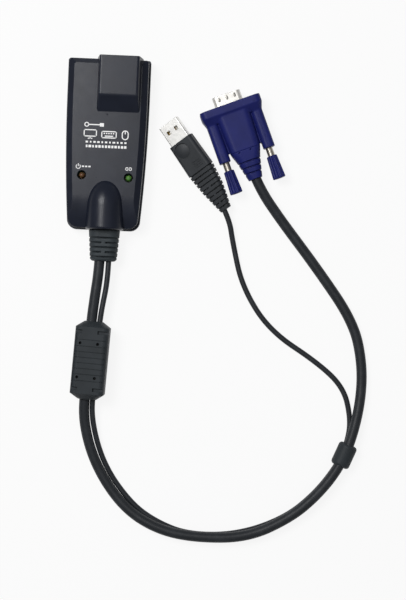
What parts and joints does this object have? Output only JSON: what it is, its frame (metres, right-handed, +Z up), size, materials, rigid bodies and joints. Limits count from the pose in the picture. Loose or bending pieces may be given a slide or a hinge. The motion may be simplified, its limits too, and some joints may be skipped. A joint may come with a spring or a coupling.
{
  "type": "kvm adapter cable",
  "caption": "Adapter module with a network jack at one end and, on two cords from the other end, a fifteen-pin video plug with thumbscrews and a USB plug.",
  "frame": {"origin": "under the middle of the module's housing, on the surface that the part lies on", "axes": "+Z up, +Y along the module towards its network jack"},
  "size_m": [0.1715, 0.2634, 0.021],
  "materials": {
    "module_black": "fine matt texture",
    "relief_grey": "matt moulded",
    "cord_black": "smooth PVC sheath",
    "overmould_grey": "matt moulded",
    "hood_blue": "satin moulded",
    "nickel": "bright nickel plate",
    "gold": "gold flash",
    "steel": "turned",
    "jack_black": "satin",
    "insulator_black": "satin",
    "insulator_white": "satin",
    "led_amber": "clear tinted",
    "led_green": "clear tinted",
    "board_green": "solder mask",
    "ferrite": "sintered",
    "wire_red": "smooth",
    "wire_white": "smooth"
  },
  "bodies": {
    "adapter": {"top_cover": "module_black", "bottom_cover": "module_black", "housing_screws": "steel", "circuit_board": "board_green", "network_jack": "jack_black", "jack_contacts": "gold", "power_led": "led_amber", "link_led": "led_green", "led_leads": "steel", "controller_chip": "insulator_black", "video_chip": "insulator_black", "crystal": "nickel", "capacitors": "insulator_black", "video_header": "insulator_white", "data_header": "insulator_white", "video_wire_plug": "insulator_white", "data_wire_plug": "insulator_white", "video_wires": "wire_red", "data_wires": "wire_white", "strain_relief": "relief_grey", "vga_cord": "cord_black", "usb_cord": "cord_black", "ferrite_core": "ferrite", "ferrite_overmould": "overmould_grey", "split_ring": "overmould_grey", "vga_hood": "hood_blue", "vga_strain_relief": "hood_blue", "vga_shell": "nickel", "vga_contact_block": "insulator_black", "vga_pins": "gold", "vga_inner_mould": "insulator_white", "usb_overmould": "overmould_grey", "usb_shell": "nickel", "usb_contact_block": "insulator_white", "usb_contacts": "gold", "usb_inner_mould": "insulator_black"},
    "left_thumbscrew": {"left_jackscrew": "steel", "left_knob": "hood_blue"},
    "right_thumbscrew": {"right_jackscrew": "steel", "right_knob": "hood_blue"}
  },
  "joints": [
    {"name": "left_thumbscrew_turn", "type": "hinge", "parent": "adapter", "child": "left_thumbscrew", "pos_m": [0.06615, -0.0078, 0.0075], "axis": [-0.3746, 0.9272, 0], "continuous": true},
    {"name": "right_thumbscrew_turn", "type": "hinge", "parent": "adapter", "child": "right_thumbscrew", "pos_m": [0.08933, 0.00157, 0.0075], "axis": [-0.3746, 0.9272, 0], "continuous": true}
  ]
}
